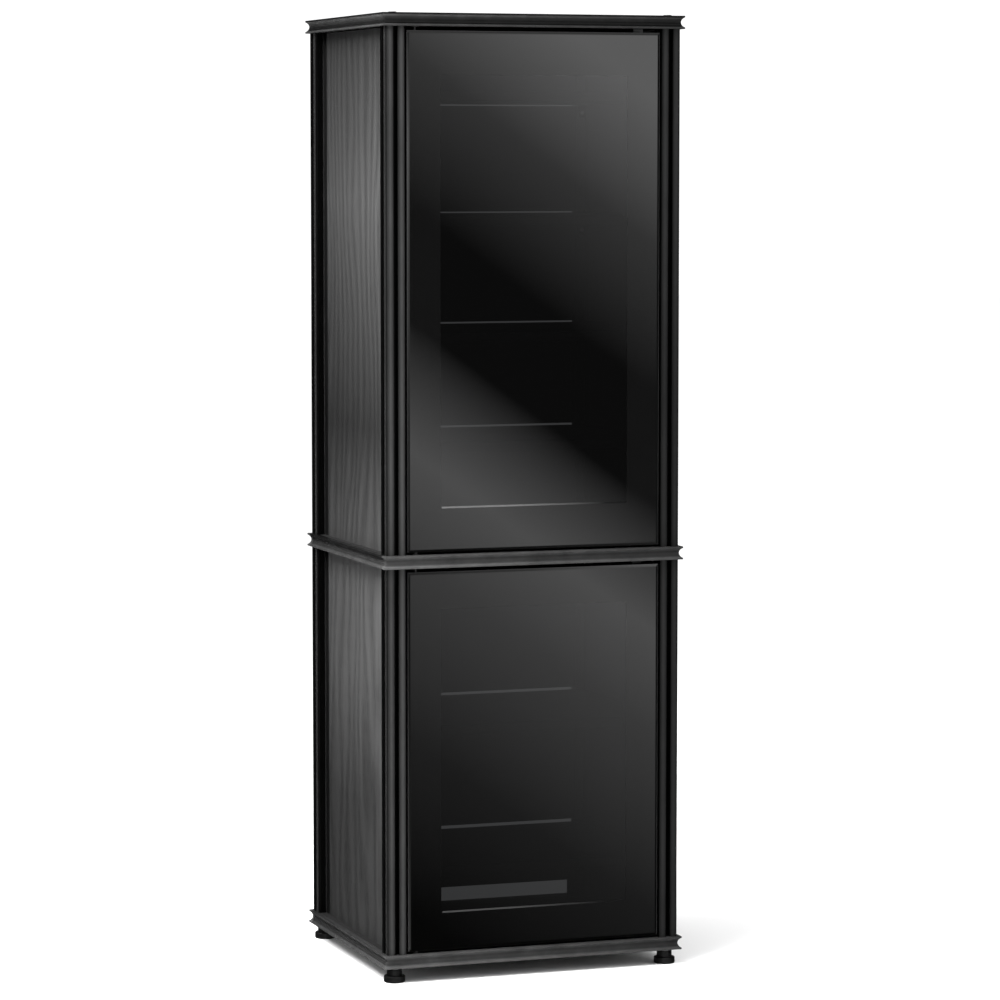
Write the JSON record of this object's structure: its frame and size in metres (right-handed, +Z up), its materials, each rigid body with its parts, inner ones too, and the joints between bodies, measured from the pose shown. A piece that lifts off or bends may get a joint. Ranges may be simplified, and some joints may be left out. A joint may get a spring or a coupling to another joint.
{
  "type": "media cabinet",
  "caption": "Tall free-standing media cabinet with slotted corner posts, edged boards, adjustable shelves, side and back panels and tinted glass doors over levelling feet.",
  "frame": {"origin": "on the floor, under the middle of the cabinet", "axes": "+Z up, +X to the right as seen from the front, +Y to the back: the doors face -Y"},
  "size_m": [0.624, 0.526, 1.895],
  "materials": {
    "post_aluminium": "satin black anodised, extruded",
    "edging_aluminium": "satin black anodised, extruded",
    "board_laminate": "black low-sheen laminate",
    "side_veneer": "black stained open-grain veneer, satin",
    "back_laminate": "black matte laminate",
    "shelf_laminate": "black low-sheen laminate",
    "smoked_glass": "tinted, polished, bevelled edge",
    "door_frame_black": "black satin lacquer",
    "zinc_steel": "bright zinc plated",
    "blackened_steel": "black oxide, oiled",
    "black_steel": "black powder coat",
    "gasket_rubber": "black, matte",
    "foot_plastic": "black moulded, slight sheen",
    "black_plastic": "black moulded"
  },
  "bodies": {
    "cabinet": {"bolt_caps": "black_plastic", "bottom_board": "board_laminate", "bottom_edging": "edging_aluminium", "latch_bodies": "black_plastic", "lower_back_panel_1": "back_laminate", "lower_back_panel_2": "back_laminate", "lower_back_panel_3": "back_laminate", "lower_post_front_left": "post_aluminium", "lower_post_front_right": "post_aluminium", "lower_post_rear_left": "post_aluminium", "lower_post_rear_right": "post_aluminium", "lower_shelf_1": "shelf_laminate", "lower_shelf_2": "shelf_laminate", "lower_side_panel_left": "side_veneer", "lower_side_panel_right": "side_veneer", "middle_board": "board_laminate", "middle_edging": "edging_aluminium", "pivot_bushes": "black_plastic", "post_bolts": "zinc_steel", "post_studs": "zinc_steel", "shelf_bracket_screws": "zinc_steel", "shelf_brackets": "black_steel", "slot_gaskets": "gasket_rubber", "top_board": "board_laminate", "top_edging": "edging_aluminium", "upper_back_panel_1": "back_laminate", "upper_back_panel_2": "back_laminate", "upper_back_panel_3": "back_laminate", "upper_back_panel_4": "back_laminate", "upper_back_panel_5": "back_laminate", "upper_post_front_left": "post_aluminium", "upper_post_front_right": "post_aluminium", "upper_post_rear_left": "post_aluminium", "upper_post_rear_right": "post_aluminium", "upper_shelf_1": "shelf_laminate", "upper_shelf_2": "shelf_laminate", "upper_shelf_3": "shelf_laminate", "upper_shelf_4": "shelf_laminate", "upper_side_panel_left": "side_veneer", "upper_side_panel_right": "side_veneer"},
    "upper_door": {"upper_door_bottom_rail": "door_frame_black", "upper_door_glass": "smoked_glass", "upper_door_hinge_stile": "door_frame_black", "upper_door_latch_stile": "door_frame_black", "upper_door_pivot_pins": "blackened_steel", "upper_door_strike_plate": "zinc_steel", "upper_door_top_rail": "door_frame_black"},
    "lower_door": {"lower_door_bottom_rail": "door_frame_black", "lower_door_glass": "smoked_glass", "lower_door_hinge_stile": "door_frame_black", "lower_door_latch_stile": "door_frame_black", "lower_door_pivot_pins": "blackened_steel", "lower_door_strike_plate": "zinc_steel", "lower_door_top_rail": "door_frame_black"},
    "upper_latch": {"upper_latch_plunger": "black_plastic"},
    "lower_latch": {"lower_latch_plunger": "black_plastic"},
    "front_left_foot": {"foot_front_left": "foot_plastic"},
    "front_right_foot": {"foot_front_right": "foot_plastic"},
    "rear_left_foot": {"foot_rear_left": "foot_plastic"},
    "rear_right_foot": {"foot_rear_right": "foot_plastic"}
  },
  "joints": [
    {"name": "upper_door_hinge", "type": "hinge", "parent": "cabinet", "child": "upper_door", "pos_m": [-0.24325, -0.245, 0.843], "axis": [0, 0, -1], "range_deg": [0, 110]},
    {"name": "lower_door_hinge", "type": "hinge", "parent": "cabinet", "child": "lower_door", "pos_m": [-0.24325, -0.245, 0.056], "axis": [0, 0, -1], "range_deg": [0, 110]},
    {"name": "upper_latch_push", "type": "slide", "parent": "cabinet", "child": "upper_latch", "axis": [0, 1, 0], "range_m": [0, 0.003], "stiffness_N_per_m": 400, "springref_m": -0.005},
    {"name": "lower_latch_push", "type": "slide", "parent": "cabinet", "child": "lower_latch", "axis": [0, 1, 0], "range_m": [0, 0.003], "stiffness_N_per_m": 400, "springref_m": -0.005},
    {"name": "front_left_foot_level", "type": "slide", "parent": "cabinet", "child": "front_left_foot", "axis": [0, 0, -1], "range_m": [0, 0.012]},
    {"name": "front_right_foot_level", "type": "slide", "parent": "cabinet", "child": "front_right_foot", "axis": [0, 0, -1], "range_m": [0, 0.012]},
    {"name": "rear_left_foot_level", "type": "slide", "parent": "cabinet", "child": "rear_left_foot", "axis": [0, 0, -1], "range_m": [0, 0.012]},
    {"name": "rear_right_foot_level", "type": "slide", "parent": "cabinet", "child": "rear_right_foot", "axis": [0, 0, -1], "range_m": [0, 0.012]}
  ]
}
